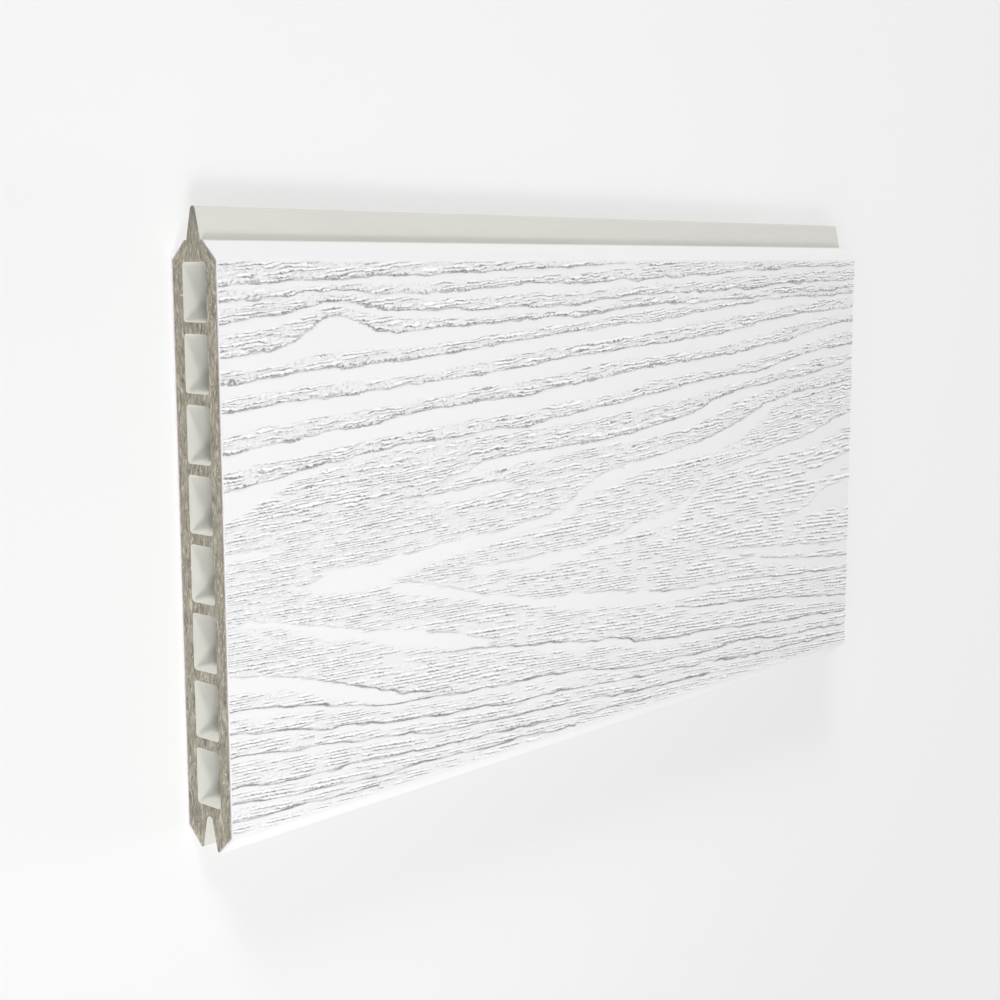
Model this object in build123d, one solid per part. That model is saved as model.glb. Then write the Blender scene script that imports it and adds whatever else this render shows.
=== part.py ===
from build123d import *

import os
from math import sqrt

# Hollow composite board with a pointed tongue along one long edge and a matching groove along the other.
# It is extruded in one piece and sawn square at both ends. It lies on its plain back: X runs along the length,
# Y runs across the width towards the tongue, and Z is the thickness, up to the embossed face.
# The origin is under the middle of the board's overall box. All sizes are millimetres.

# Overall sizes
LENGTH = 316.0
THICKNESS = 20.0
COVER_WIDTH = 164.0  # from the feet of the lips to the seat beside the tongue

# Tongue and groove
TONGUE_HEIGHT = 8.8
TONGUE_FOOT_WIDTH = 5.8
TONGUE_NOSE_RADIUS = 1.05
JOINT_SIDE_CLEARANCE = 0.2
JOINT_NOSE_CLEARANCE = 0.5

# Slopes from the two faces to the tongue's seat, and to the feet of the lips
SLOPE_DEPTH = 5.0  # taken off the thickness
SLOPE_RISE = 4.8  # taken off the width
FACE_EDGE_RADIUS = 1.2
SEAT_EDGE_RADIUS = 1.0
MOUTH_EDGE_RADIUS = 0.3

# Walls round the hollow chambers
FACE_WALL = 5.1
HEAD_WALL = 5.6  # between the tongue's seat and the first chamber
GROOVE_WALL = 2.9  # between the groove's nose and the last chamber
WEB = 3.0
CHAMBER_COUNT = 8
CHAMBER_CORNER_RADIUS = 1.0

# Places that follow from the sizes above
OVERALL_WIDTH = COVER_WIDTH + TONGUE_HEIGHT
LIP_Y = -OVERALL_WIDTH / 2
SEAT_Y = LIP_Y + COVER_WIDTH
MIDDLE_Z = THICKNESS / 2
GROOVE_DEPTH = TONGUE_HEIGHT + JOINT_NOSE_CLEARANCE
CHAMBERS_START_Y = LIP_Y + GROOVE_DEPTH + GROOVE_WALL
CHAMBERS_END_Y = SEAT_Y - HEAD_WALL
CHAMBER_WIDTH = (CHAMBERS_END_Y - CHAMBERS_START_Y - (CHAMBER_COUNT - 1) * WEB) / CHAMBER_COUNT
CHAMBER_HEIGHT = THICKNESS - 2 * FACE_WALL


def wedge(foot_width, height, nose_radius, foot_y):
    """A pointed tooth that stands on the line Y = foot_y and points to +Y, its nose rounded by one arc."""
    half = foot_width / 2
    reach = height - nose_radius
    tangent = sqrt(half**2 + reach**2 - nose_radius**2)
    sharp_height = half * (half * reach + nose_radius * tangent) / (half**2 - nose_radius**2)
    apex = (foot_y + sharp_height, MIDDLE_Z)
    tooth = make_face(
        Polyline((foot_y, MIDDLE_Z - half), apex, (foot_y, MIDDLE_Z + half), close=True)
    )
    return fillet(tooth.vertices().sort_by(Axis.X)[-1], nose_radius)


def blank():
    """The board's outline with its four sloped corners, before the tongue and the groove."""
    outline = Polyline(
        (LIP_Y, SLOPE_DEPTH),
        (LIP_Y + SLOPE_RISE, 0),
        (SEAT_Y - SLOPE_RISE, 0),
        (SEAT_Y, SLOPE_DEPTH),
        (SEAT_Y, THICKNESS - SLOPE_DEPTH),
        (SEAT_Y - SLOPE_RISE, THICKNESS),
        (LIP_Y + SLOPE_RISE, THICKNESS),
        (LIP_Y, THICKNESS - SLOPE_DEPTH),
        close=True,
    )
    face = make_face(outline)
    face_corners = face.vertices().group_by(Axis.Y)
    face = fillet(face_corners[0] + face_corners[-1], FACE_EDGE_RADIUS)
    edge_corners = face.vertices().group_by(Axis.X)
    return fillet(edge_corners[0] + edge_corners[-1], SEAT_EDGE_RADIUS)


def groove():
    """The tongue's shape with its clearance, cut into the opposite edge."""
    return wedge(
        TONGUE_FOOT_WIDTH + 2 * JOINT_SIDE_CLEARANCE,
        GROOVE_DEPTH,
        TONGUE_NOSE_RADIUS + JOINT_SIDE_CLEARANCE,
        LIP_Y,
    )


def chambers():
    """The row of hollow cells, one web apart."""
    middle_y = (CHAMBERS_START_Y + CHAMBERS_END_Y) / 2
    row = GridLocations(CHAMBER_WIDTH + WEB, 0, CHAMBER_COUNT, 1)
    cell = RectangleRounded(CHAMBER_WIDTH, CHAMBER_HEIGHT, CHAMBER_CORNER_RADIUS)
    return Pos(middle_y, MIDDLE_Z) * row * cell


def section():
    """The cross-section, drawn with the board's width along the sketch's X and its thickness along Y."""
    body = blank() - groove()
    mouth_corners = body.vertices().group_by(Axis.X)[0].sort_by(Axis.Y)[1:3]
    body = fillet(mouth_corners, MOUTH_EDGE_RADIUS)
    body += wedge(TONGUE_FOOT_WIDTH, TONGUE_HEIGHT, TONGUE_NOSE_RADIUS, SEAT_Y)
    return body - chambers()


def board():
    """The section drawn out along X, half the length to each side of the origin."""
    return extrude(Plane.YZ * section(), LENGTH / 2, both=True)


os.makedirs("parts", exist_ok=True)
solid = board()
solid.label = "board"
export_step(solid, "parts/board.step")
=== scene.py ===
import math
from collections import namedtuple

import bmesh
import bpy
import numpy as np
from mathutils import Matrix, Vector
from mathutils.geometry import delaunay_2d_cdt


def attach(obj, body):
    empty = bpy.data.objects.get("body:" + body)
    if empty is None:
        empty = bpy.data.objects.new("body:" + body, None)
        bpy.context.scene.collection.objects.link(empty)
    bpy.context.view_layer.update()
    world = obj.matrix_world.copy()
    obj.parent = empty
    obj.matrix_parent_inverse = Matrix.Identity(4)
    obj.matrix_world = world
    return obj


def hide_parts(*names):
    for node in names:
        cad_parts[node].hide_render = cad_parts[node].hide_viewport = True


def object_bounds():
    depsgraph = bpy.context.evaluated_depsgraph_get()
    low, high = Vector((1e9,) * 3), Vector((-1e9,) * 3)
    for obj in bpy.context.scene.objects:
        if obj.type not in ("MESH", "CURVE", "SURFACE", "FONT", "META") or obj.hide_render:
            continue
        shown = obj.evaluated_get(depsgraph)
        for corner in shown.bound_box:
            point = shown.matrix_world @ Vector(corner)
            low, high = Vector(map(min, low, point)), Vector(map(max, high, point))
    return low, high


# A hollow composite board that lies on its back. The wood-grain face is up, the tongue points to +Y and the
# sawn end that the photograph shows is at -X. Shapes are worked out in millimetres and made in metres.

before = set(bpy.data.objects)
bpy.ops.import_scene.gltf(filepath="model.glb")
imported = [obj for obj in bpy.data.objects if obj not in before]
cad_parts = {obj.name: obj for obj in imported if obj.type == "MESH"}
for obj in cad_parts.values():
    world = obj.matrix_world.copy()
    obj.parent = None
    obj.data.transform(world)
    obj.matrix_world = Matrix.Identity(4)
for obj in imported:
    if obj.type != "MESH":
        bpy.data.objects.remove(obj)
cad_low, cad_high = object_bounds()
MM = 0.001

# Overall sizes, from the frame
LENGTH = (cad_high.x - cad_low.x) / MM
WIDTH = (cad_high.y - cad_low.y) / MM
THICKNESS = (cad_high.z - cad_low.z) / MM

# The section
TONGUE_HEIGHT = 8.8
TONGUE_FOOT_WIDTH = 5.8
TONGUE_NOSE_RADIUS = 1.05
JOINT_SIDE_CLEARANCE = 0.2
JOINT_NOSE_CLEARANCE = 0.5
SLOPE_DEPTH = 5.0
SLOPE_RISE = 4.8
FACE_EDGE_RADIUS = 1.2
SEAT_EDGE_RADIUS = 1.0
MOUTH_EDGE_RADIUS = 0.3
FACE_WALL = 5.1
HEAD_WALL = 5.6
GROOVE_WALL = 2.9
WEB = 3.0
CHAMBER_COUNT = 8
CHAMBER_CORNER_RADIUS = 1.0
CAP_THICKNESS = 1.0

# Places that follow from the section
LIP_Y = -WIDTH / 2
SEAT_Y = WIDTH / 2 - TONGUE_HEIGHT
MIDDLE_Z = THICKNESS / 2
GROOVE_DEPTH = TONGUE_HEIGHT + JOINT_NOSE_CLEARANCE
CHAMBERS_START_Y = LIP_Y + GROOVE_DEPTH + GROOVE_WALL
CHAMBERS_END_Y = SEAT_Y - HEAD_WALL
CHAMBER_WIDTH = (CHAMBERS_END_Y - CHAMBERS_START_Y - (CHAMBER_COUNT - 1) * WEB) / CHAMBER_COUNT
CHAMBER_PITCH = CHAMBER_WIDTH + WEB
CHAMBER_HEIGHT = THICKNESS - 2 * FACE_WALL

# Fineness of the mesh
FACE_ROWS = 530
FACE_COLUMNS = 176
ARC_STEPS = 5
SHARP_ANGLE = math.radians(35)
# Points of an end this near to each other count as one, and faces this near to a seat belong to it
SAME_PLACE = 1e-6
SEAT_MARGIN = 0.02

# Smooth zones of the embossed face, read off the photograph. Each is a run of (distance along, upper
# edge, width), along from the near end and up from the groove's lips. The face between the zones is rough.
BANDS_ABOVE = (
    ((0, 152.5, 1.5), (50, 154, 2), (100, 155.5, 2.5), (140, 156.8, 2.5), (170, 158.8, 2.5)),
    ((0, 148, 2), (28, 150, 1.2), (53, 149.8, 1), (80, 149.8, 2), (100, 150.5, 2.8), (150, 152.2, 2.8),
     (190, 153.3, 2), (240, 155.3, 2), (316, 157.5, 2)),
    ((0, 142.5, 3), (20, 143.8, 3), (33, 147, 2.2), (40, 147.5, 1.5), (52, 146.2, 1.5), (67, 145.3, 3),
     (93, 144.4, 2.5), (133, 145, 2), (150, 145.8, 1.8), (170, 147.6, 1.5), (217, 148.8, 1.2),
     (316, 151.7, 1.5)),
    ((0, 133.5, 4), (22, 136, 4.5), (31, 140, 6.5), (37, 143.3, 9.5), (44, 143.3, 9.5), (52, 141, 7.5),
     (60, 138.5, 5), (80, 139.2, 4.5), (113, 140.8, 3.5), (150, 142, 2.5), (192, 144.2, 1.6),
     (316, 148.3, 1.2)),
    ((0, 126.7, 4), (25, 129.2, 5), (57, 130.3, 5), (90, 132, 5), (133, 135.8, 4.5), (167, 138, 4.5),
     (200, 139.7, 4), (225, 142.6, 4.5), (250, 144.2, 4), (285, 145.6, 2), (316, 146.3, 2)),
    ((0, 119.2, 5.5), (42, 122, 5.5), (93, 124.2, 4.5), (133, 127.5, 4.5), (167, 129.7, 4),
     (217, 132.5, 4.5), (235, 134, 5), (255, 137.3, 5), (285, 139.8, 3.5), (316, 140.8, 3)),
    ((0, 108.5, 5), (33, 112, 5), (70, 114.7, 5), (107, 117, 6), (150, 120, 6.5), (183, 123.3, 5),
     (233, 125.8, 5), (267, 129.2, 4.5), (283, 132, 4.5), (316, 135.8, 5)),
    ((0, 98.5, 8), (12, 100.3, 7), (25, 102.3, 2), (60, 106, 1.2), (92, 107, 1.2), (133, 108.3, 2),
     (160, 111.2, 4), (192, 114.7, 4.5), (225, 118, 4.5), (250, 118.5, 3), (283, 124.2, 4),
     (316, 125.8, 3)),
    ((92, 95, 0.5), (100, 99, 3.5), (142, 99.7, 2.5), (160, 100, 2), (180, 101.7, 3.5), (208, 105.8, 5),
     (225, 110.5, 5), (245, 112.8, 2.5), (275, 114.7, 2), (316, 120.5, 2.5)),
)
ARCHES = (
    ((27, 70, 1), (37, 72.5, 6.5), (50, 73.5, 7.5), (67, 74.2, 5.5), (83, 75, 4), (107, 76, 3),
     (127, 78, 4), (140, 81.5, 4.5), (148, 86, 5.5), (158, 89.7, 5.5), (183, 92.3, 5.5), (208, 95, 5),
     (225, 98, 6), (238, 100.5, 7), (248, 104, 6), (260, 107, 3), (283, 110, 1.5), (316, 112.5, 1.5)),
    ((50, 69, 0.8), (60, 67.5, 3.5), (70, 65, 4.5), (85, 61.5, 4), (100, 57, 2.5), (115, 54, 3),
     (130, 51.5, 4), (147, 50, 5), (165, 48.5, 5), (185, 45.5, 5), (205, 43, 3.5), (225, 42.5, 2),
     (250, 41, 1.5), (283, 38.3, 1.2), (316, 35.7, 1)),
    ((100, 65.5, 1), (108, 66, 4), (125, 66, 4.5), (142, 65.3, 3.5), (158, 66.5, 1.5), (175, 69, 2.5),
     (190, 72, 5), (205, 75, 5), (211, 78, 0.8), (217, 82.5, 0.8), (242, 86.5, 3), (260, 89, 4.5),
     (283, 92.3, 5.5), (300, 96, 6), (316, 99, 6.5)),
    ((213, 56, 1), (225, 55.5, 3), (240, 54, 2.5), (258, 52, 3), (275, 50.5, 3), (295, 48.5, 3),
     (316, 47, 3)),
    ((235, 52, 0.8), (250, 49, 1.8), (262, 47, 2.5), (285, 44.5, 3.5), (316, 41, 4)),
    ((270, 76.5, 0.5), (283, 77.5, 3), (300, 80, 6), (316, 84, 8)),
    ((265, 61, 1), (285, 64.5, 4), (297, 70, 9), (316, 72, 11)),
    ((70, 90.5, 1), (80, 90.8, 4), (95, 91.3, 5), (106, 92, 2)),
    ((0, 82.2, 3), (12, 82.4, 2.5), (30, 83, 0.8)),
    ((8, 63, 0.8), (25, 60, 3), (40, 56.5, 4), (60, 52.5, 5), (80, 48.7, 5.5), (95, 45, 3.5),
     (106, 42, 0.8)),
    ((0, 50, 5), (20, 46, 4.5), (35, 42, 5), (50, 37, 4.5), (62, 33.5, 2.5), (80, 31, 1)),
)
BANDS_BELOW = (
    ((85, 42, 1), (107, 39.2, 1.6), (127, 36.6, 2.2), (147, 34, 2.4), (165, 31.8, 2.4), (180, 28.8, 3),
     (200, 26.5, 3), (217, 25.6, 2), (250, 23.2, 2), (283, 20.7, 2), (316, 18.2, 1.5)),
    ((195, 38, 0.8), (215, 35, 2), (235, 34.3, 3), (250, 33, 2), (283, 28.8, 2.5), (316, 24.8, 2.5)),
    ((0, 40.3, 3), (17, 37.7, 2), (30, 36.3, 1.5), (45, 33, 1.5), (60, 30.5, 1.8), (80, 29.2, 1.8),
     (100, 27.4, 1.8), (120, 26.5, 1.5), (137, 25.3, 1.5), (160, 22.5, 1.8), (177, 20, 1.2),
     (200, 19.2, 1.5), (242, 18, 1.5), (267, 15.8, 1.5), (316, 12.8, 1.5)),
    ((0, 33.5, 2), (10, 32.3, 2), (25, 30.3, 1.5), (40, 27.6, 2), (60, 25, 2), (93, 22.3, 1.6),
     (110, 20.2, 1.2), (142, 18.8, 1.2), (158, 17.7, 1.2), (183, 15.7, 1.2), (217, 14, 1.2),
     (250, 11.6, 1.2), (316, 9, 1.2)),
    ((0, 27.8, 2), (20, 25, 1.8), (40, 23, 1.5), (60, 20.8, 1.5), (80, 18.2, 1.2), (110, 15.9, 1.2),
     (143, 14, 1.2), (177, 12, 1.2), (217, 9.2, 1), (267, 6.6, 1)),
    ((0, 19.3, 1.8), (20, 16.8, 1.6), (43, 15.6, 1.2), (67, 14.3, 1.2), (100, 12.2, 1.2),
     (140, 9.8, 1.2), (180, 7.5, 1)),
    ((0, 14.8, 1.5), (23, 12, 1.5), (50, 10.4, 1.2), (80, 9.4, 1.2), (110, 8, 1.2), (140, 6.5, 1)),
    ((0, 10, 1.5), (25, 8, 1.2), (50, 7, 1)),
)
ZONE_EASING = 5.0
EASING_SAMPLES = 7
# Zones wider than the marked width get a painted shadow line under the step at their upper edge. Far stands
# for no edge near.
MARKED_WIDTH = 1.0
FAR_FROM_EDGE = 3.0
# The heart of the grain, where the zones' edges are softer, and the fan of the fibres away from it
HEART_OVER = 70.0
HEART_HALF = 18.0
HEART_BLEND = 15.0
FIBRE_FAN = 0.085
FIBRE_FAN_HALF = 30.0
# Above the heart the rough stripes turn into crinkled ropes
ROPE_START = 5.0
ROPE_BLEND = 30.0
# Zones are scooped out, with a sharp edge outside the heart and a soft, ragged one inside it
SCOOP_DEPTH = 0.36
SCOOP_EDGE = 0.6
HEART_SCOOP_DEPTH = 0.32
HEART_SCOOP_EDGE = 0.9
HEART_RAGGED = 1.2
HEART_RAGGED_LENGTH = 9.0
# Rows of fibre ends on the rough parts, each broken into dashes
ROWS_PER_MM = 1.0
ROW_HEIGHT = 0.4
ROW_WALL = 0.25
ROW_CRINKLE = 0.2
ROPE_CRINKLE = 0.5
DASH_LENGTH = 4.5
DASH_EDGE = 0.3
DASH_EXCESS = 0.75
CRINKLE_HEIGHT = 0.2
CREST_GAP = 0.28
EDGE_FADE = 0.9
# Layers of noise: (size, length along the fibres, length across them, seed)
CRINKLE_LAYERS = ((0.6, 2.6, 1.1, 4), (0.4, 6.0, 2.0, 5))
ROW_LAYERS = ((0.7, 35.0, 5.0, 6),)
WANDER_LAYERS = ((0.5, 30.0, 9.0, 1), (0.5, 11.0, 2.5, 2), (0.45, 4.0, 1.2, 3))
WANDER_LEAST = 0.5
WANDER_FULL_AT = 40.0
DASH_SEED = 7
RAGGED_SEED = 8
NOISE_CELLS = 256

# Colours, linear
CAP_DIM = (0.835, 0.835, 0.84, 1)
CAP_BRIGHT = (0.865, 0.865, 0.868, 1)
# The next four colours are painted light: shade in the bump's hollows, a highlight on the rows' crests,
# shade on the rows' lower walls and the shadow under each smooth zone's step
CAP_HOLLOW_SHADE = (0.36, 0.36, 0.37, 1)
CAP_CREST_HIGHLIGHT = (0.97, 0.97, 0.97, 1)
CAP_WALL_SHADE = (0.17, 0.17, 0.18, 1)
CAP_STEP_SHADOW = (0.2, 0.2, 0.21, 1)
SKIN_DIM = (0.63, 0.625, 0.58, 1)
SKIN_BRIGHT = (0.71, 0.705, 0.66, 1)
CORE_DIM = (0.165, 0.149, 0.112, 1)
CORE_BRIGHT = (0.255, 0.238, 0.193, 1)
CORE_PALE_FIBRE = (0.42, 0.395, 0.31, 1)
CORE_DARK_FIBRE = (0.09, 0.08, 0.062, 1)
CORE_SPECK = (0.5, 0.475, 0.39, 1)
CORE_TONGUE_TIP = (0.13, 0.12, 0.115, 1)
CAP_RIM = (0.66, 0.62, 0.67, 1)
FLOOR_DIM = (0.79, 0.79, 0.785, 1)
FLOOR_BRIGHT = (0.81, 0.81, 0.805, 1)
WHITE = (1, 1, 1, 1)

# Fineness of the textures: per millimetre along and across the fibres on the cap, per metre elsewhere
CAP_CRINKLES = (0.8, 1.1, 0.0)
CAP_DASHES = (0.08, 0.35, 0.0)
CAP_CLOUDS = (0.02, 0.05, 0.0)
SKIN_LINES = (6.0, 900.0, 900.0)
SKIN_CLOUDS = (25.0, 120.0, 120.0)
CORE_SWAYS = (1.0, 90.0, 140.0)
CORE_FIBRES = (1.0, 330.0, 1700.0)
CORE_MOTTLES = (1.0, 160.0, 420.0)
CORE_SPECKS = (1.0, 700.0, 2400.0)
FLOOR_CLOUDS = 3.0

# The painted shadow line under the step at a zone's upper edge, with its shallow bump groove, as distances
# from the edge in millimetres
STEP_SHADOW_HALF_WIDTH = 0.45
STEP_SHADOW_CORE = 0.1
STEP_SHADOW_LIMIT = 1.5
STEP_SHADOW_SURE = 1.0
# Fibres of the core, in millimetres from the tongue's seat: they draw together over the flow's length
FLOW_BELOW_SEAT = 9.0
FLOW_ABOVE_SEAT = 7.0
FLOW_NARROWEST = 0.25
TIP_ABOVE_SEAT = 1.0
TIP_SHADE = 0.55
CORE_SWAY = 6.0
# How quickly the core's pattern changes along the board, so that the two ends differ
CORE_CHANGE = 20.0
# The rim of the cap on the ends: where it has faded and where it is full, in cap thicknesses, and how ragged
# it is, in millimetres
RIM_END = 1.1
RIM_FULL = 0.5
RIM_RAGGED = 0.8
# Depth of the bumps in millimetres
CAP_BUMP = 0.5
SKIN_BUMP = 0.1
CORE_BUMP = 0.4

# Camera, placed as the photograph was taken
CAMERA_PLACE = Vector((-424.7, 70.1, 358.7)) * MM
CAMERA_FORWARD = Vector((0.7335, -0.1392, -0.6653))
CAMERA_UP = Vector((0.1055, 0.9903, -0.0909))
CAMERA_LENS = 59.4
CAMERA_SENSOR = 36.0

# Suns: where each shines from, its strength and its width in degrees
SUNS = {
    "key": ((-0.45, 1.0, 0.36), 2.1, 15),
    "low_fill": ((-0.6, -0.7, 0.8), 0.75, 60),
    "end_fill": ((-1.0, 0.0, 0.2), 0.85, 40),
    "edge_fill": ((-0.3, -1.0, 0.08), 0.7, 20),
    "far_fill": ((1.0, -0.15, 0.12), 1.4, 15),
}
# A soft spot on the near part of the face, in metres and watts
SPOT_PLACE = (-0.7, -0.45, 0.7)
SPOT_AIM = (-0.4 * LENGTH * MM, 0.0, 0.0)
SPOT_POWER = 20.0
SPOT_CONE = math.radians(38)
SPOT_RADIUS = 0.15
# The sky as light and as seen, and the share of plain white in the floor as seen
SKY_LIGHT = 0.25
SKY_SEEN = 0.93
FLOOR_GLOW = 0.58
FLOOR_HALF = 6.0
FLOOR_GAP = 0.1

# Materials of the board, in the order of its slots
CAP, SKIN, SAWN = range(3)

Grain = namedtuple("Grain", "along fibre height phase dash rough edge heart rope")


def smooth_step(share):
    """A share from 0 to 1, eased at both ends."""
    return share * share * (3 - 2 * share)


def unit_noise(u, v, seed):
    """Smooth noise from -1 to 1 on a grid of unit cells."""
    table = np.random.default_rng(seed).uniform(-1, 1, (NOISE_CELLS, NOISE_CELLS))
    cell_u = np.floor(u).astype(int)
    cell_v = np.floor(v).astype(int)
    share_u = smooth_step(u - cell_u)
    share_v = smooth_step(v - cell_v)

    def corner(du, dv):
        return table[(cell_u + du) % NOISE_CELLS, (cell_v + dv) % NOISE_CELLS]

    low = corner(0, 0) * (1 - share_u) + corner(1, 0) * share_u
    high = corner(0, 1) * (1 - share_u) + corner(1, 1) * share_u
    return low * (1 - share_v) + high * share_v


def layered_noise(layers, along, fibre):
    """Several layers of noise, added up."""
    total = 0
    for size, length, width, seed in layers:
        total = total + size * unit_noise(along / length, fibre / width, seed)
    return total


def eased(x, places, values):
    """The run of straight lines through the values, with its corners softened."""
    offsets = np.linspace(-1, 1, EASING_SAMPLES) * ZONE_EASING
    return sum(np.interp(x + offset, places, values) for offset in offsets) / len(offsets)


def zone_fields(along, over):
    """How far a place lies inside a smooth zone, and how far above the nearest zone's upper edge."""
    inside = np.full_like(over, -FAR_FROM_EDGE)
    edge = np.full_like(over, FAR_FROM_EDGE)
    for run in BANDS_ABOVE + ARCHES + BANDS_BELOW:
        places, tops, widths = np.array(run).T
        above = over - eased(along, places, tops)
        width = eased(along, places, widths)
        reached = (along > places[0] - ZONE_EASING) & (along < places[-1] + ZONE_EASING)
        inside = np.where(reached, np.maximum(inside, np.minimum(-above, above + width)), inside)
        marked = reached & (width > MARKED_WIDTH) & (np.abs(above) < np.abs(edge))
        edge = np.where(marked, above, edge)
    return inside, edge


def grain(along, over):
    """The embossed grain at places along and over the face: its height, never above the face, and what the
    material needs to know of it."""
    from_heart = over - HEART_OVER
    fan = FIBRE_FAN * from_heart / np.hypot(from_heart, FIBRE_FAN_HALF)
    fibre = from_heart - fan * (along - LENGTH / 2)
    heart = 1 - np.clip((np.abs(from_heart) - HEART_HALF) / HEART_BLEND, 0, 1)
    rope = np.clip((from_heart - ROPE_START) / ROPE_BLEND, 0, 1)
    crinkle = layered_noise(CRINKLE_LAYERS, along, fibre)
    phase = fibre * ROWS_PER_MM + layered_noise(ROW_LAYERS, along, fibre)
    phase = phase + crinkle * (ROW_CRINKLE + ROPE_CRINKLE * rope)
    row = np.floor(phase)
    across = phase - row

    wander = layered_noise(WANDER_LAYERS, along, fibre)
    wander = wander * np.clip(np.abs(from_heart) / WANDER_FULL_AT, WANDER_LEAST, 1)
    inside, edge = zone_fields(along, over + wander)
    inside = inside + HEART_RAGGED * heart * unit_noise(along / HEART_RAGGED_LENGTH, row, RAGGED_SEED)
    softness = SCOOP_EDGE + (HEART_SCOOP_EDGE - SCOOP_EDGE) * heart
    depth = SCOOP_DEPTH + (HEART_SCOOP_DEPTH - SCOOP_DEPTH) * heart
    scoop = np.clip(inside / softness + 0.5, 0, 1)
    rough = 1 - scoop
    dash = np.clip(unit_noise(along / DASH_LENGTH, row, DASH_SEED) / DASH_EDGE + DASH_EXCESS, 0, 1) * rough
    fibre_end = np.minimum(across / ROW_WALL, 1) * (1 - across)
    height = ROW_HEIGHT * fibre_end * dash - CREST_GAP * rough + CRINKLE_HEIGHT * crinkle * rough * rope
    height = np.minimum(height - depth * scoop, 0)
    return Grain(along, fibre, height, phase, dash, rough, edge, heart, rope)


def face_grain(columns, face_y):
    """The grain on the grid of the embossed face, faded out at the face's two long edges."""
    along, over = np.meshgrid(columns + LENGTH / 2, face_y - LIP_Y, indexing="ij")
    fields = grain(along, over)
    to_edge = np.minimum(face_y - face_y[ARC_STEPS], face_y[-1 - ARC_STEPS] - face_y)
    fade = smooth_step(np.clip(to_edge / EDGE_FADE, 0, 1))
    return fields._replace(
        height=fields.height * fade,
        dash=fields.dash * fade,
        rough=fields.rough * fade,
        edge=np.where(fade > 0.5, fields.edge, FAR_FROM_EDGE),
    )


def rounded(corners):
    """The points of an open run of corners (y, z, radius), each corner with a radius turned into an arc."""
    points = []
    for index, (y, z, radius) in enumerate(corners):
        here = Vector((y, z))
        if radius == 0 or index in (0, len(corners) - 1):
            points.append(here)
            continue
        before = (here - Vector(corners[index - 1][:2])).normalized()
        after = (Vector(corners[index + 1][:2]) - here).normalized()
        turn = before.angle_signed(after)
        reach = radius * math.tan(abs(turn) / 2)
        start = here - before * reach
        side = Vector((before.y, -before.x)) * (1 if turn > 0 else -1)
        centre = start + side * radius
        for step in range(ARC_STEPS + 1):
            arm = start - centre
            arm.rotate(Matrix.Rotation(-turn * step / ARC_STEPS, 2))
            points.append(centre + arm)
    return points


def wedge_tip(foot_width, height, nose_radius):
    """How high the sharp tip of a tooth stands whose nose, rounded by an arc, reaches the height."""
    half = foot_width / 2
    reach = height - nose_radius
    tangent = math.sqrt(half**2 + reach**2 - nose_radius**2)
    return half * (half * reach + nose_radius * tangent) / (half**2 - nose_radius**2)


def section():
    """The outline as two runs of (y, z) points: the face with its two rounded edges, and all the rest."""
    mouth_width = TONGUE_FOOT_WIDTH + 2 * JOINT_SIDE_CLEARANCE
    groove_nose = TONGUE_NOSE_RADIUS + JOINT_SIDE_CLEARANCE
    tongue_tip = SEAT_Y + wedge_tip(TONGUE_FOOT_WIDTH, TONGUE_HEIGHT, TONGUE_NOSE_RADIUS)
    groove_tip = LIP_Y + wedge_tip(mouth_width, GROOVE_DEPTH, groove_nose)
    lower_seat = (LIP_Y, THICKNESS - SLOPE_DEPTH, SEAT_EDGE_RADIUS)
    lower_edge = (LIP_Y + SLOPE_RISE, THICKNESS, FACE_EDGE_RADIUS)
    upper_edge = (SEAT_Y - SLOPE_RISE, THICKNESS, FACE_EDGE_RADIUS)
    upper_seat = (SEAT_Y, THICKNESS - SLOPE_DEPTH, SEAT_EDGE_RADIUS)
    front = rounded([lower_seat, lower_edge, upper_edge, upper_seat])[1:-1]
    lower_arc = front[: ARC_STEPS + 1]
    upper_arc = front[ARC_STEPS + 1 :]
    rows = np.linspace(lower_arc[-1].x, upper_arc[0].x, FACE_ROWS + 1)[1:-1]
    face = lower_arc + [Vector((y, THICKNESS)) for y in rows] + upper_arc
    rest = rounded([
        upper_edge,
        upper_seat,
        (SEAT_Y, MIDDLE_Z + TONGUE_FOOT_WIDTH / 2, 0),
        (tongue_tip, MIDDLE_Z, TONGUE_NOSE_RADIUS),
        (SEAT_Y, MIDDLE_Z - TONGUE_FOOT_WIDTH / 2, 0),
        (SEAT_Y, SLOPE_DEPTH, SEAT_EDGE_RADIUS),
        (SEAT_Y - SLOPE_RISE, 0, FACE_EDGE_RADIUS),
        (LIP_Y + SLOPE_RISE, 0, FACE_EDGE_RADIUS),
        (LIP_Y, SLOPE_DEPTH, SEAT_EDGE_RADIUS),
        (LIP_Y, MIDDLE_Z - mouth_width / 2, MOUTH_EDGE_RADIUS),
        (groove_tip, MIDDLE_Z, groove_nose),
        (LIP_Y, MIDDLE_Z + mouth_width / 2, MOUTH_EDGE_RADIUS),
        lower_seat,
        lower_edge,
    ])[1:-1]
    return face, rest


def chamber_loops():
    """The closed outline of each hollow chamber."""
    loops = []
    bottom = MIDDLE_Z - CHAMBER_HEIGHT / 2
    top = MIDDLE_Z + CHAMBER_HEIGHT / 2
    for index in range(CHAMBER_COUNT):
        start = CHAMBERS_START_Y + index * CHAMBER_PITCH
        end = start + CHAMBER_WIDTH
        corners = [
            (start, MIDDLE_Z, 0),
            (start, top, CHAMBER_CORNER_RADIUS),
            (end, top, CHAMBER_CORNER_RADIUS),
            (end, bottom, CHAMBER_CORNER_RADIUS),
            (start, bottom, CHAMBER_CORNER_RADIUS),
            (start, MIDDLE_Z, 0),
        ]
        loops.append(rounded(corners)[:-1])
    return loops


def in_chamber(y, z):
    """Whether a place in the section lies in a chamber."""
    step = (y - CHAMBERS_START_Y) / CHAMBER_PITCH
    if not 0 <= step < CHAMBER_COUNT or abs(z - MIDDLE_Z) >= CHAMBER_HEIGHT / 2:
        return False
    return (step - math.floor(step)) * CHAMBER_PITCH < CHAMBER_WIDTH


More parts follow.
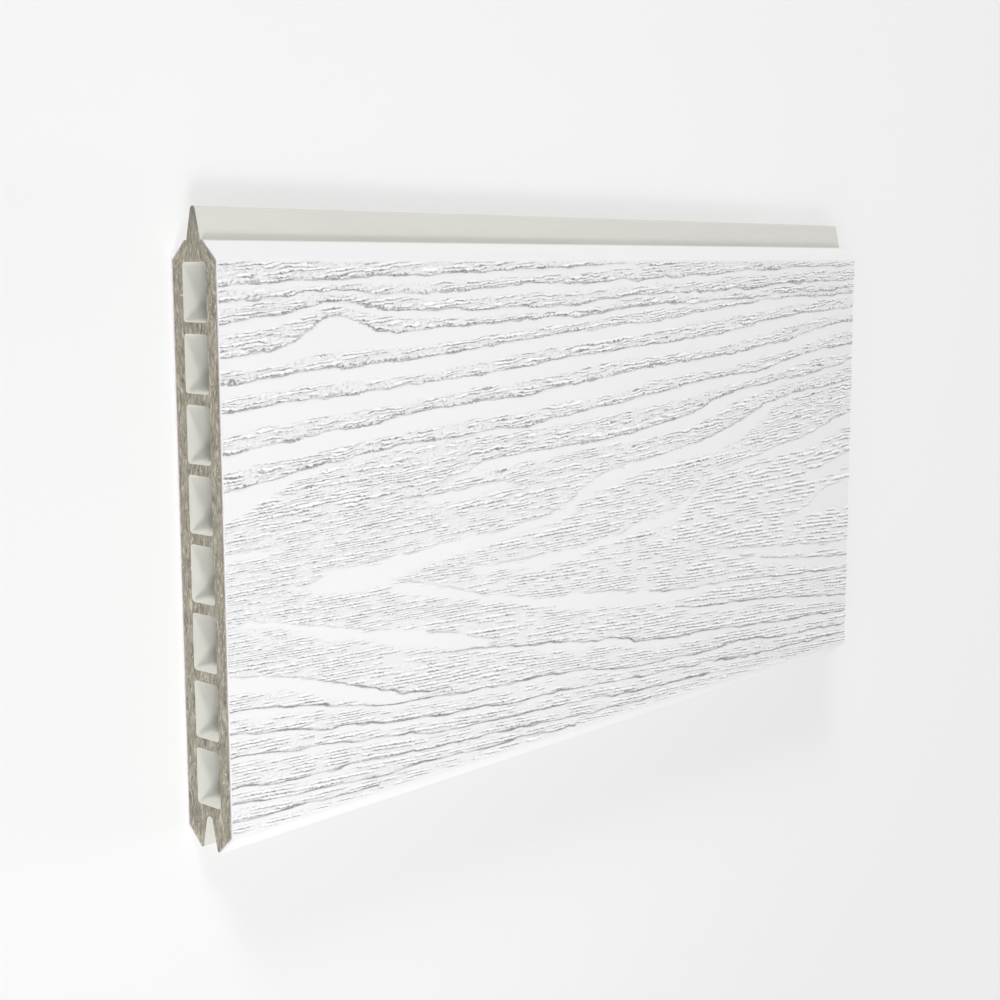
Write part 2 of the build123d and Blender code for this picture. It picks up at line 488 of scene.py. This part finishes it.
class BoardMesh:
    """Collects the points of the board, in millimetres, and its faces, each with a material."""

    def __init__(self):
        self.points = []
        self.faces = []
        self.materials = []

    def add_points(self, points):
        start = len(self.points)
        self.points.extend(points)
        return list(range(start, len(self.points)))

    def add_face(self, corners, material):
        self.faces.append(tuple(corners))
        self.materials.append(material)


def add_embossed_face(mesh, columns, face, height):
    """The face as a grid of points, sunk by the grain. Returns the point numbers, column by column."""
    grid = mesh.add_points(
        (x, point.x, point.y + height[c, r]) for c, x in enumerate(columns) for r, point in enumerate(face)
    )
    grid = np.array(grid).reshape(len(columns), len(face))
    for c in range(len(columns) - 1):
        for r in range(len(face) - 1):
            mesh.add_face((grid[c, r], grid[c + 1, r], grid[c + 1, r + 1], grid[c, r + 1]), CAP)
    return grid


def add_sides(mesh, grid, rest, ends):
    """The slopes, the tongue, the groove and the back. Returns the point numbers at each end."""
    near, far = [mesh.add_points((x, point.x, point.y) for point in rest) for x in ends]
    mesh.add_face([*grid[:, -1], far[0], near[0]], CAP)
    for i in range(len(rest) - 1):
        middle = (rest[i] + rest[i + 1]) / 2
        between_seats = LIP_Y + SEAT_MARGIN < middle.x < SEAT_Y - SEAT_MARGIN
        capped = between_seats and abs(middle.y - MIDDLE_Z) > TONGUE_FOOT_WIDTH
        mesh.add_face((near[i], far[i], far[i + 1], near[i + 1]), CAP if capped else SKIN)
    mesh.add_face([*grid[::-1, 0], near[-1], far[-1]], CAP)
    return near, far


def add_chambers(mesh, ends):
    """The walls of the chambers. Returns each chamber's point numbers at each end."""
    rings = []
    for loop in chamber_loops():
        near, far = [mesh.add_points((x, point.x, point.y) for point in loop) for x in ends]
        rings.append((near, far))
        for i in range(len(loop)):
            j = (i + 1) % len(loop)
            mesh.add_face((near[i], near[j], far[j], far[i]), SKIN)
    return rings


def end_triangles(loops):
    """Corner numbers of the triangles that fill an end, between its outline and its chambers."""
    flat = [point for loop in loops for point in loop]
    edges = []
    start = 0
    for loop in loops:
        count = len(loop)
        edges.extend((start + i, start + (i + 1) % count) for i in range(count))
        start += count
    inside_only = 1
    places, _, faces, sources, *_ = delaunay_2d_cdt(flat, edges, [], inside_only, SAME_PLACE)
    triangles = []
    for corners in faces:
        middle = sum((places[c] for c in corners), Vector((0, 0))) / 3
        if not in_chamber(middle.x, middle.y):
            triangles.append([sources[c][0] for c in corners])
    return triangles


def add_sawn_end(mesh, outline, rings):
    """Fills one end between its outline and its chambers, all given as point numbers."""
    numbers = [outline] + rings
    loops = [[Vector(mesh.points[n][1:]) for n in loop] for loop in numbers]
    lookup = [n for loop in numbers for n in loop]
    for triangle in end_triangles(loops):
        mesh.add_face([lookup[c] for c in triangle], SAWN)


def make_board(materials):
    """The whole board as one closed mesh: embossed face, plain sides, chambers and sawn ends."""
    face, rest = section()
    columns = np.linspace(-LENGTH / 2, LENGTH / 2, FACE_COLUMNS + 1)
    ends = (columns[0], columns[-1])
    fields = face_grain(columns, np.array([point.x for point in face]))
    mesh = BoardMesh()
    grid = add_embossed_face(mesh, columns, face, fields.height)
    sides = add_sides(mesh, grid, rest, ends)
    rings = add_chambers(mesh, ends)
    for end, column in enumerate((0, FACE_COLUMNS)):
        outline = [int(n) for n in grid[column]] + sides[end]
        add_sawn_end(mesh, outline, [ring[end] for ring in rings])

    data = bpy.data.meshes.new("embossed_board")
    data.from_pydata([Vector(point) * MM for point in mesh.points], [], mesh.faces)
    for material in materials:
        data.materials.append(material)
    data.polygons.foreach_set("material_index", mesh.materials)
    store_grain(data, fields)
    orient_faces(data)
    shade(data, grid)
    board = bpy.data.objects.new("embossed_board", data)
    bpy.context.scene.collection.objects.link(board)
    return board


def store_grain(data, fields):
    """Stores the grain on the points of the face, where the cap's material reads it."""
    place = np.stack([fields.along, fields.fibre, np.zeros_like(fields.along)], axis=-1)
    add_attribute(data, "grain_place", place, 0.0)
    for name in ("phase", "dash", "rough", "heart", "rope"):
        add_attribute(data, "grain_" + name, getattr(fields, name), 0.0)
    add_attribute(data, "grain_edge", fields.edge, FAR_FROM_EDGE)
    add_attribute(data, "grain_edge_size", np.abs(fields.edge), FAR_FROM_EDGE)


def add_attribute(data, name, field, elsewhere):
    """Stores a field of numbers or vectors on the points of the face, and one value on all other points."""
    width = 1 if field.ndim == 2 else field.shape[2]
    values = np.full((len(data.vertices), width), elsewhere, np.float32)
    face_values = field.reshape(-1, width)
    values[: len(face_values)] = face_values
    kind, member = ("FLOAT", "value") if width == 1 else ("FLOAT_VECTOR", "vector")
    data.attributes.new(name, kind, "POINT").data.foreach_set(member, values.ravel())


def orient_faces(data):
    """Turns every face outwards."""
    work = bmesh.new()
    work.from_mesh(data)
    bmesh.ops.recalc_face_normals(work, faces=work.faces)
    work.to_mesh(data)
    work.free()


def shade(data, grid):
    """Smooth shading, with sharp edges where the section turns a corner but none inside the face."""
    data.polygons.foreach_set("use_smooth", np.ones(len(data.polygons), bool))
    data.set_sharp_from_angle(angle=SHARP_ANGLE)
    sharp = np.zeros(len(data.edges), bool)
    data.edges.foreach_get("use_edge_sharp", sharp)
    corners = np.zeros(len(data.edges) * 2, int)
    data.edges.foreach_get("vertices", corners)
    corners = corners.reshape(-1, 2)
    first, second = (corners // grid.shape[1]).T
    in_face = (corners < grid.size).all(axis=1)
    on_end = (first == second) & ((first == 0) | (first == grid.shape[0] - 1))
    sharp[in_face & ~on_end] = False
    data.edges.foreach_set("use_edge_sharp", sharp)
    data.update()


class Nodes:
    """Short ways to build a node tree."""

    def __init__(self, tree):
        self.tree = tree

    def add(self, kind, inputs=None, **settings):
        node = self.tree.nodes.new(kind)
        for key, value in settings.items():
            setattr(node, key, value)
        for key, value in (inputs or {}).items():
            self.feed(node.inputs[key], value)
        return node

    def feed(self, socket, value):
        if isinstance(value, bpy.types.NodeSocket):
            self.tree.links.new(value, socket)
        else:
            socket.default_value = value

    def math(self, operation, a, b=0.0, c=0.0):
        return self.add("ShaderNodeMath", {0: a, 1: b, 2: c}, operation=operation).outputs[0]

    def product(self, *factors):
        result = factors[0]
        for factor in factors[1:]:
            result = self.math("MULTIPLY", result, factor)
        return result

    def place(self):
        return self.add("ShaderNodeTexCoord").outputs["Object"]

    def vector(self, x, y, z):
        return self.add("ShaderNodeCombineXYZ", {0: x, 1: y, 2: z}).outputs[0]

    def attribute(self, name, output="Fac"):
        node = self.add("ShaderNodeAttribute", attribute_name=name, attribute_type="GEOMETRY")
        return node.outputs[output]

    def stretched(self, vector, scale):
        return self.add("ShaderNodeVectorMath", {0: vector, 1: scale}, operation="MULTIPLY").outputs[0]

    def noise(self, vector, scale=1.0, detail=3.0, roughness=0.55, distortion=0.0):
        inputs = {"Vector": vector, "Scale": scale, "Detail": detail}
        inputs.update({"Roughness": roughness, "Distortion": distortion})
        return self.add("ShaderNodeTexNoise", inputs).outputs["Fac"]

    def spread(self, value, low, high, to_low=0.0, to_high=1.0):
        inputs = {"Value": value, "From Min": low, "From Max": high, "To Min": to_low, "To Max": to_high}
        return self.add("ShaderNodeMapRange", inputs).outputs[0]

    def blend(self, share, first, second):
        node = self.add("ShaderNodeMix", data_type="RGBA")
        self.feed(node.inputs["Factor"], share)
        self.feed(node.inputs[6], first)
        self.feed(node.inputs[7], second)
        return node.outputs[2]

    def bump(self, height, strength, distance):
        inputs = {"Height": height, "Strength": strength, "Distance": distance}
        return self.add("ShaderNodeBump", inputs).outputs[0]

    def finish(self, colour, roughness, normal=None):
        shader = self.tree.nodes["Principled BSDF"]
        self.feed(shader.inputs["Base Color"], colour)
        self.feed(shader.inputs["Roughness"], roughness)
        if normal is not None:
            self.feed(shader.inputs["Normal"], normal)
        return shader


def new_material(name):
    """A new material and its nodes."""
    material = bpy.data.materials.new(name)
    material.use_nodes = True
    return material, Nodes(material.node_tree)


def cap_step_groove_and_shadow(n, grain_place, unrest, rough, rope):
    """How far a place lies in the broken line along a smooth zone's upper edge: a painted shadow under the
    step there, also sunk as a shallow groove in the bump.
    """
    dashes = n.noise(n.stretched(grain_place, CAP_DASHES), detail=2.0)
    sway = n.math("MULTIPLY", unrest, n.spread(rope, 0.0, 1.0, 1.0, 3.0))
    offset = n.math("ABSOLUTE", n.math("ADD", n.attribute("grain_edge"), sway))
    return n.product(
        n.spread(offset, STEP_SHADOW_HALF_WIDTH, STEP_SHADOW_CORE),
        n.spread(n.attribute("grain_edge_size"), STEP_SHADOW_LIMIT, STEP_SHADOW_SURE),
        n.spread(dashes, 0.38, 0.55, 0.4, 1.0),
        n.spread(n.attribute("grain_heart"), 0.0, 1.0, 1.0, 0.35),
        n.spread(rough, 0.02, 0.2),
    )


def cap_material():
    """White plastic cap with embossed grain and painted light: painted shade on each row's lower wall and in
    the bump's hollows, a painted shadow under the step at each smooth zone's upper edge, and a painted
    highlight on the rows' crests.
    """
    material, n = new_material("white_embossed_cap")
    grain_place = n.attribute("grain_place", "Vector")
    rough = n.attribute("grain_rough")
    rope = n.attribute("grain_rope")
    dash = n.attribute("grain_dash")
    crinkle = n.noise(n.stretched(grain_place, CAP_CRINKLES), detail=2.0, roughness=0.6)
    cloud = n.noise(n.stretched(grain_place, CAP_CLOUDS), detail=2.0)
    unrest = n.math("SUBTRACT", crinkle, 0.5)
    across = n.math("FRACT", n.math("MULTIPLY_ADD", unrest, 0.9, n.attribute("grain_phase")))
    step_groove_and_shadow = cap_step_groove_and_shadow(n, grain_place, unrest, rough, rope)
    # Painted shade in the hollows of the bump on the rough parts
    painted_hollow_shade = n.product(n.spread(unrest, -0.05, -0.12), rough, n.spread(rope, 0.0, 1.0, 0.1, 0.4))
    # Painted highlight on the upper part of each row, its crest
    painted_crest_highlight = n.product(n.spread(across, 0.4, 0.6), dash)
    # Painted shade on the lower wall of each row, which faces away from the key
    painted_wall_shade = n.product(n.spread(across, 0.45, 0.2), dash, n.spread(crinkle, 0.35, 0.6, 1.0, 0.6))
    # Painted shadow under the step down into each smooth zone, along its upper edge
    painted_step_shadow = n.product(step_groove_and_shadow, n.spread(rope, 0.0, 1.0, 0.9, 0.8))
    colour = n.blend(cloud, CAP_DIM, CAP_BRIGHT)
    colour = n.blend(painted_hollow_shade, colour, CAP_HOLLOW_SHADE)
    colour = n.blend(painted_crest_highlight, colour, CAP_CREST_HIGHLIGHT)
    colour = n.blend(painted_wall_shade, colour, CAP_WALL_SHADE)
    colour = n.blend(painted_step_shadow, colour, CAP_STEP_SHADOW)
    height = n.math("MULTIPLY_ADD", step_groove_and_shadow, -0.3, n.product(unrest, rough))
    n.finish(colour, n.spread(crinkle, 0.3, 0.7, 0.74, 0.62), n.bump(height, 1.0, CAP_BUMP * MM))
    return material


def skin_material():
    """The core's smooth skin on the tongue, the groove and the chambers, with faint lines from the die."""
    material, n = new_material("composite_skin")
    place = n.place()
    lines = n.noise(n.stretched(place, SKIN_LINES))
    cloud = n.noise(n.stretched(place, SKIN_CLOUDS))
    colour = n.blend(cloud, SKIN_DIM, SKIN_BRIGHT)
    n.finish(colour, n.spread(lines, 0.3, 0.7, 0.5, 0.62), n.bump(lines, 0.15, SKIN_BUMP * MM))
    return material


def cap_depth(n, y, from_middle):
    """How deep a place on an end lies under the cap's surface: the face, the back or the nearest slope."""
    to_face = n.math("SUBTRACT", MIDDLE_Z * MM, n.math("ABSOLUTE", from_middle))

    def to_slope(from_edge):
        along_y = n.math("MULTIPLY", from_edge, SLOPE_DEPTH)
        reach = n.math("ADD", along_y, n.math("MULTIPLY", to_face, SLOPE_RISE))
        reach = n.math("SUBTRACT", reach, SLOPE_DEPTH * SLOPE_RISE * MM)
        return n.math("DIVIDE", reach, math.hypot(SLOPE_DEPTH, SLOPE_RISE))

    upper = to_slope(n.math("SUBTRACT", SEAT_Y * MM, y))
    lower = to_slope(n.math("SUBTRACT", y, LIP_Y * MM))
    return n.math("MINIMUM", to_face, n.math("MINIMUM", upper, lower))


def sawn_material():
    """The sawn end: a fibrous brown-grey core inside the pale edge of the cap, finer in the tongue."""
    material, n = new_material("sawn_composite")
    x, y, z = n.add("ShaderNodeSeparateXYZ", {0: n.place()}).outputs
    from_middle = n.math("SUBTRACT", z, MIDDLE_Z * MM)
    flow_start = (SEAT_Y - FLOW_BELOW_SEAT) * MM
    flow_end = (SEAT_Y + FLOW_ABOVE_SEAT) * MM
    narrow = n.spread(y, flow_start, flow_end, 1.0, FLOW_NARROWEST)
    flow = n.vector(n.math("MULTIPLY", x, CORE_CHANGE), y, n.math("DIVIDE", from_middle, narrow))
    sway = n.math("MULTIPLY", n.noise(n.stretched(flow, CORE_SWAYS), detail=2.0), CORE_SWAY * MM)
    aside = n.vector(0.0, 0.0, sway)
    swayed = n.add("ShaderNodeVectorMath", {0: flow, 1: aside}, operation="ADD").outputs[0]
    fibres = n.noise(n.stretched(swayed, CORE_FIBRES), detail=4.0, roughness=0.65, distortion=0.5)
    mottle = n.noise(n.stretched(flow, CORE_MOTTLES))
    specks = n.noise(n.stretched(swayed, CORE_SPECKS), detail=2.0)
    tongue_tip = n.spread(y, (SEAT_Y + TIP_ABOVE_SEAT) * MM, flow_end, 0.0, TIP_SHADE)
    unrest = n.math("SUBTRACT", fibres, 0.5)
    depth = n.math("MULTIPLY_ADD", unrest, RIM_RAGGED * MM, cap_depth(n, y, from_middle))
    rim = n.spread(depth, RIM_END * CAP_THICKNESS * MM, RIM_FULL * CAP_THICKNESS * MM)
    rim = n.product(rim, n.math("LESS_THAN", y, SEAT_Y * MM))
    colour = n.blend(n.spread(mottle, 0.3, 0.7), CORE_DIM, CORE_BRIGHT)
    colour = n.blend(n.spread(fibres, 0.53, 0.68), colour, CORE_PALE_FIBRE)
    colour = n.blend(n.spread(fibres, 0.46, 0.34), colour, CORE_DARK_FIBRE)
    colour = n.blend(n.spread(specks, 0.64, 0.72), colour, CORE_SPECK)
    colour = n.blend(tongue_tip, colour, CORE_TONGUE_TIP)
    colour = n.blend(rim, colour, CAP_RIM)
    n.finish(colour, 0.8, n.bump(n.math("ADD", fibres, specks), 0.6, CORE_BUMP * MM))
    return material


def seen_directly(n):
    """1 for a ray that shows a surface, straight or mirrored, and 0 for a ray that only carries light."""
    path = n.add("ShaderNodeLightPath").outputs
    mirrored = n.math("MAXIMUM", path["Is Glossy Ray"], path["Is Transmission Ray"])
    return n.math("MAXIMUM", path["Is Camera Ray"], mirrored)


def floor_material():
    """Pale floor: near white to the camera, and plain in the light that it throws back."""
    material, n = new_material("studio_floor")
    cloud = n.noise(n.place(), scale=FLOOR_CLOUDS)
    plain = n.finish(n.blend(cloud, FLOOR_DIM, FLOOR_BRIGHT), 0.9)
    glow = n.add("ShaderNodeEmission", {"Color": WHITE, "Strength": 1.0})
    share = n.math("MULTIPLY", seen_directly(n), FLOOR_GLOW)
    mixed = n.add("ShaderNodeMixShader", {0: share, 1: plain.outputs[0], 2: glow.outputs[0]})
    n.feed(n.tree.nodes["Material Output"].inputs["Surface"], mixed.outputs[0])
    return material


def make_floor():
    """A wide plane just under the board."""
    low, high = -FLOOR_HALF, FLOOR_HALF
    corners = [(low, low, 0), (high, low, 0), (high, high, 0), (low, high, 0)]
    data = bpy.data.meshes.new("studio_floor")
    data.from_pydata(corners, [], [(0, 1, 2, 3)])
    data.materials.append(floor_material())
    floor = bpy.data.objects.new("studio_floor", data)
    floor.location.z = cad_low.z - FLOOR_GAP * MM
    bpy.context.scene.collection.objects.link(floor)


def make_camera():
    """The camera of the photograph, rolled so that the tongue is at the top of the picture."""
    data = bpy.data.cameras.new("camera")
    data.sensor_width = CAMERA_SENSOR
    data.lens = CAMERA_LENS
    camera = bpy.data.objects.new("camera", data)
    back = -CAMERA_FORWARD.normalized()
    right = CAMERA_UP.cross(back).normalized()
    up = back.cross(right)
    turned = Matrix((right, up, back)).transposed().to_4x4()
    camera.matrix_world = Matrix.Translation(CAMERA_PLACE) @ turned
    bpy.context.scene.collection.objects.link(camera)
    bpy.context.scene.camera = camera


def make_lamp(name, kind, place, strength, aim=(0.0, 0.0, 0.0), **settings):
    """A lamp at a place, aimed at the board's middle or at another point."""
    data = bpy.data.lights.new(name, kind)
    data.energy = strength
    for key, value in settings.items():
        setattr(data, key, value)
    lamp = bpy.data.objects.new(name, data)
    lamp.location = Vector(place)
    lamp.rotation_euler = (Vector(aim) - Vector(place)).to_track_quat("-Z", "Y").to_euler()
    bpy.context.scene.collection.objects.link(lamp)


def make_light():
    """Soft studio light: a key that rakes over the face from the tongue's side, fills and a pale sky."""
    for name, (place, strength, width) in SUNS.items():
        make_lamp(name, "SUN", place, strength, angle=math.radians(width))
    cone = {"spot_size": SPOT_CONE, "spot_blend": 1.0, "shadow_soft_size": SPOT_RADIUS}
    make_lamp("near_fill", "SPOT", SPOT_PLACE, SPOT_POWER, aim=SPOT_AIM, **cone)
    world = bpy.data.worlds.new("sky")
    world.use_nodes = True
    n = Nodes(world.node_tree)
    sky = n.tree.nodes["Background"]
    n.feed(sky.inputs["Color"], WHITE)
    n.feed(sky.inputs["Strength"], n.spread(seen_directly(n), 0.0, 1.0, SKY_LIGHT, SKY_SEEN))
    bpy.context.scene.world = world


bpy.context.scene.view_settings.view_transform = "Standard"
board = make_board([cap_material(), skin_material(), sawn_material()])
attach(board, "root")
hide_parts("board")
make_floor()
make_camera()
make_light()
